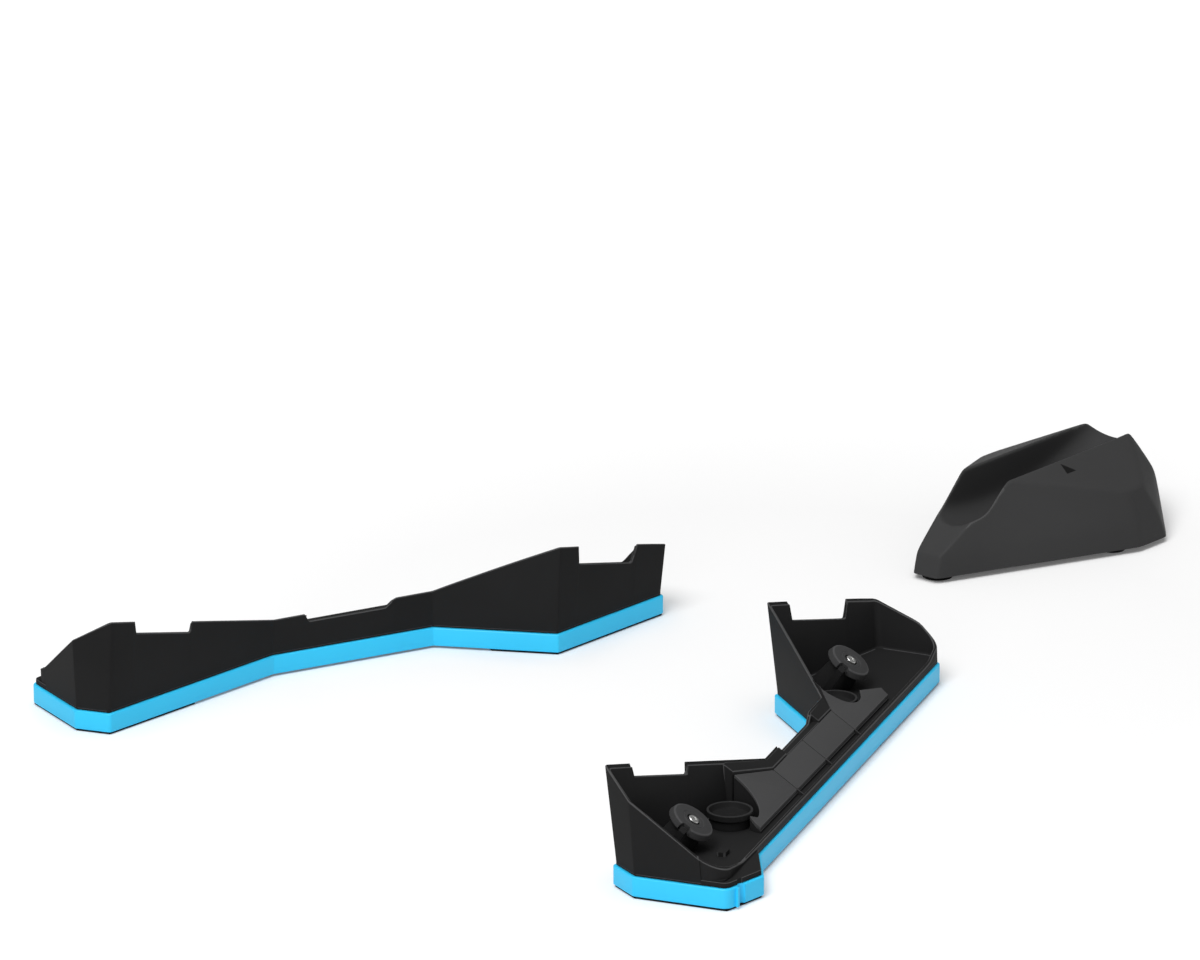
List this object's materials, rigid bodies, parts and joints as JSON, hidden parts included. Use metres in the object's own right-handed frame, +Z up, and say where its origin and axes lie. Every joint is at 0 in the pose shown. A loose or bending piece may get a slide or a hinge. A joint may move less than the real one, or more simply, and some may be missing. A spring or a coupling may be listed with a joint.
{
  "type": "trainer motion plate set",
  "caption": "Mirrored pair of gliding plates that stand under the legs of a bicycle trainer, with a faceted front wheel riser.",
  "frame": {"origin": "middle of the set's bounding box, on the floor", "axes": "+X forward along the bicycle, +Y to its left, +Z up"},
  "size_m": [1.0528, 0.7658, 0.0993],
  "materials": {
    "blue_plastic": "satin moulded",
    "black_plastic": "fine grain",
    "grey_pad": "matt pad",
    "rubber": "matt",
    "steel": "turned",
    "white_nylon": "satin",
    "charcoal_plastic": "fine grain"
  },
  "bodies": {
    "floor_set": {"riser_body": "charcoal_plastic", "riser_nose_foot": "rubber", "riser_left_foot": "rubber", "riser_right_foot": "rubber", "right_base": "blue_plastic", "right_rear_sole": "rubber", "right_front_sole": "rubber", "right_rear_slot_liner": "rubber", "right_front_slot_liner": "rubber", "right_rear_outer_axle": "steel", "right_rear_inner_axle": "steel", "right_front_inner_axle": "steel", "right_front_outer_axle": "steel", "left_base": "blue_plastic", "left_rear_sole": "rubber", "left_front_sole": "rubber", "left_rear_slot_liner": "rubber", "left_front_slot_liner": "rubber", "left_rear_outer_axle": "steel", "left_rear_inner_axle": "steel", "left_front_inner_axle": "steel", "left_front_outer_axle": "steel"},
    "right_carriage": {"right_tray": "black_plastic", "right_panel_1": "grey_pad", "right_panel_2": "grey_pad", "right_panel_3": "grey_pad", "right_panel_4": "grey_pad", "right_rear_cup": "black_plastic", "right_rear_guide_pin": "steel", "right_rear_disc_bolt": "steel", "right_front_cup": "black_plastic", "right_front_guide_pin": "steel", "right_front_disc_bolt": "steel"},
    "right_rear_outer_roller_body": {"right_rear_outer_roller": "white_nylon"},
    "right_rear_inner_roller_body": {"right_rear_inner_roller": "white_nylon"},
    "right_front_inner_roller_body": {"right_front_inner_roller": "white_nylon"},
    "right_front_outer_roller_body": {"right_front_outer_roller": "white_nylon"},
    "right_rear_disc_body": {"right_rear_disc": "grey_pad"},
    "right_front_disc_body": {"right_front_disc": "grey_pad"},
    "left_carriage": {"left_tray": "black_plastic", "left_panel_1": "grey_pad", "left_panel_2": "grey_pad", "left_panel_3": "grey_pad", "left_panel_4": "grey_pad", "left_rear_cup": "black_plastic", "left_rear_guide_pin": "steel", "left_rear_disc_bolt": "steel", "left_front_cup": "black_plastic", "left_front_guide_pin": "steel", "left_front_disc_bolt": "steel"},
    "left_rear_outer_roller_body": {"left_rear_outer_roller": "white_nylon"},
    "left_rear_inner_roller_body": {"left_rear_inner_roller": "white_nylon"},
    "left_front_inner_roller_body": {"left_front_inner_roller": "white_nylon"},
    "left_front_outer_roller_body": {"left_front_outer_roller": "white_nylon"},
    "left_rear_disc_body": {"left_rear_disc": "grey_pad"},
    "left_front_disc_body": {"left_front_disc": "grey_pad"}
  },
  "joints": [
    {"name": "right_tray_glide", "type": "slide", "parent": "floor_set", "child": "right_carriage", "axis": [1, 0, 0], "range_m": [-0.025, 0.025], "stiffness_N_per_m": 9},
    {"name": "right_rear_outer_roller_spin", "type": "hinge", "parent": "floor_set", "child": "right_rear_outer_roller_body", "pos_m": [-0.4665, -0.34078, 0.0127], "axis": [0, 1, 0], "range_deg": [-206, 206]},
    {"name": "right_rear_inner_roller_spin", "type": "hinge", "parent": "floor_set", "child": "right_rear_inner_roller_body", "pos_m": [-0.47216, -0.29162, 0.0127], "axis": [0, 1, 0], "range_deg": [-206, 206]},
    {"name": "right_front_inner_roller_spin", "type": "hinge", "parent": "floor_set", "child": "right_front_inner_roller_body", "pos_m": [-0.07293, -0.13729, 0.0127], "axis": [0, 1, 0], "range_deg": [-206, 206]},
    {"name": "right_front_outer_roller_spin", "type": "hinge", "parent": "floor_set", "child": "right_front_outer_roller_body", "pos_m": [-0.03545, -0.17448, 0.0127], "axis": [0, 1, 0], "range_deg": [-206, 206]},
    {"name": "right_rear_disc_turn", "type": "hinge", "parent": "right_carriage", "child": "right_rear_disc_body", "pos_m": [-0.45868, -0.31327, 0.05], "axis": [0.2008, -0.5342, 0.8212], "range_deg": [-45, 45]},
    {"name": "right_front_disc_turn", "type": "hinge", "parent": "right_carriage", "child": "right_front_disc_body", "pos_m": [-0.07864, -0.17042, 0.05], "axis": [0.2008, -0.5342, 0.8212], "range_deg": [-45, 45]},
    {"name": "left_tray_glide", "type": "slide", "parent": "floor_set", "child": "left_carriage", "axis": [1, 0, 0], "range_m": [-0.025, 0.025], "stiffness_N_per_m": 9},
    {"name": "left_rear_outer_roller_spin", "type": "hinge", "parent": "floor_set", "child": "left_rear_outer_roller_body", "pos_m": [-0.4665, 0.34078, 0.0127], "axis": [0, 1, 0], "range_deg": [-206, 206]},
    {"name": "left_rear_inner_roller_spin", "type": "hinge", "parent": "floor_set", "child": "left_rear_inner_roller_body", "pos_m": [-0.47216, 0.29162, 0.0127], "axis": [0, 1, 0], "range_deg": [-206, 206]},
    {"name": "left_front_inner_roller_spin", "type": "hinge", "parent": "floor_set", "child": "left_front_inner_roller_body", "pos_m": [-0.07293, 0.13729, 0.0127], "axis": [0, 1, 0], "range_deg": [-206, 206]},
    {"name": "left_front_outer_roller_spin", "type": "hinge", "parent": "floor_set", "child": "left_front_outer_roller_body", "pos_m": [-0.03545, 0.17448, 0.0127], "axis": [0, 1, 0], "range_deg": [-206, 206]},
    {"name": "left_rear_disc_turn", "type": "hinge", "parent": "left_carriage", "child": "left_rear_disc_body", "pos_m": [-0.45868, 0.31327, 0.05], "axis": [0.2008, 0.5342, 0.8212], "range_deg": [-45, 45]},
    {"name": "left_front_disc_turn", "type": "hinge", "parent": "left_carriage", "child": "left_front_disc_body", "pos_m": [-0.07864, 0.17042, 0.05], "axis": [0.2008, 0.5342, 0.8212], "range_deg": [-45, 45]}
  ],
  "couplings": [
    {"joint": "right_rear_outer_roller_spin", "follows": "right_tray_glide", "rad_per_m": 142.86},
    {"joint": "right_rear_inner_roller_spin", "follows": "right_tray_glide", "rad_per_m": 142.86},
    {"joint": "right_front_inner_roller_spin", "follows": "right_tray_glide", "rad_per_m": 142.86},
    {"joint": "right_front_outer_roller_spin", "follows": "right_tray_glide", "rad_per_m": 142.86},
    {"joint": "left_rear_outer_roller_spin", "follows": "left_tray_glide", "rad_per_m": 142.86},
    {"joint": "left_rear_inner_roller_spin", "follows": "left_tray_glide", "rad_per_m": 142.86},
    {"joint": "left_front_inner_roller_spin", "follows": "left_tray_glide", "rad_per_m": 142.86},
    {"joint": "left_front_outer_roller_spin", "follows": "left_tray_glide", "rad_per_m": 142.86}
  ]
}
